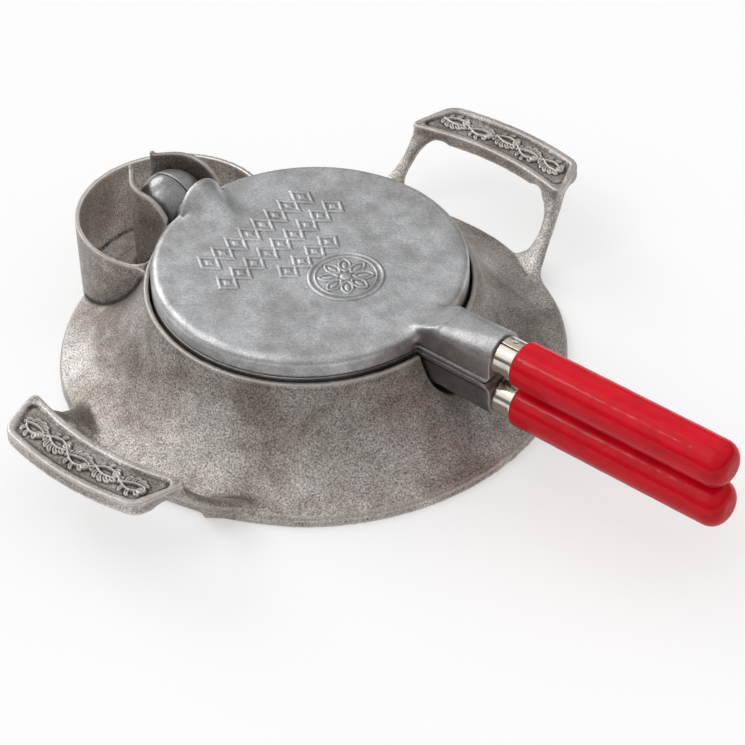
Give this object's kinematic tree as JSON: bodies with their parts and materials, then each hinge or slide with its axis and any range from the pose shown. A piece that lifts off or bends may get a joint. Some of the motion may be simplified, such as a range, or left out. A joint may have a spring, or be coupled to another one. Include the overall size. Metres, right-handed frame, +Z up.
{
  "type": "krumkake iron",
  "caption": "Hinged round cooking plates with long turned grips, cradled by a ball hinge in a flared ring stand with loop handles and a drip cup.",
  "frame": {"origin": "centre of the stand's ring, on the surface the stand rests on", "axes": "+X along the closed iron from the ball hinge to the grips, +Z up, the loop handles at -Y and +Y"},
  "size_m": [0.3607, 0.3174, 0.0678],
  "materials": {
    "stand_casting": "rough sand-cast, warm grey",
    "plate_casting": "fine sand-cast, satin",
    "nickelled_ferrule": "bright nickel plate",
    "lacquered_wood": "gloss red lacquer over turned wood",
    "rod_steel": "plain drawn rod",
    "brad_steel": "nickelled"
  },
  "bodies": {
    "stand": {"stand": "stand_casting"},
    "lower_iron": {"lower_plate": "plate_casting", "lower_tang": "rod_steel", "lower_ferrule": "nickelled_ferrule", "lower_grip": "lacquered_wood", "lower_brad": "brad_steel"},
    "upper_iron": {"upper_plate": "plate_casting", "upper_tang": "rod_steel", "upper_ferrule": "nickelled_ferrule", "upper_grip": "lacquered_wood", "upper_brad": "brad_steel"}
  },
  "joints": [
    {"name": "lift_off", "type": "slide", "parent": "stand", "child": "lower_iron", "axis": [0, 0, 1], "range_m": [0, 0.1]},
    {"name": "open", "type": "hinge", "parent": "lower_iron", "child": "upper_iron", "pos_m": [-0.0857, 0, 0.0462], "axis": [0, -1, 0], "range_deg": [0, 88]}
  ]
}
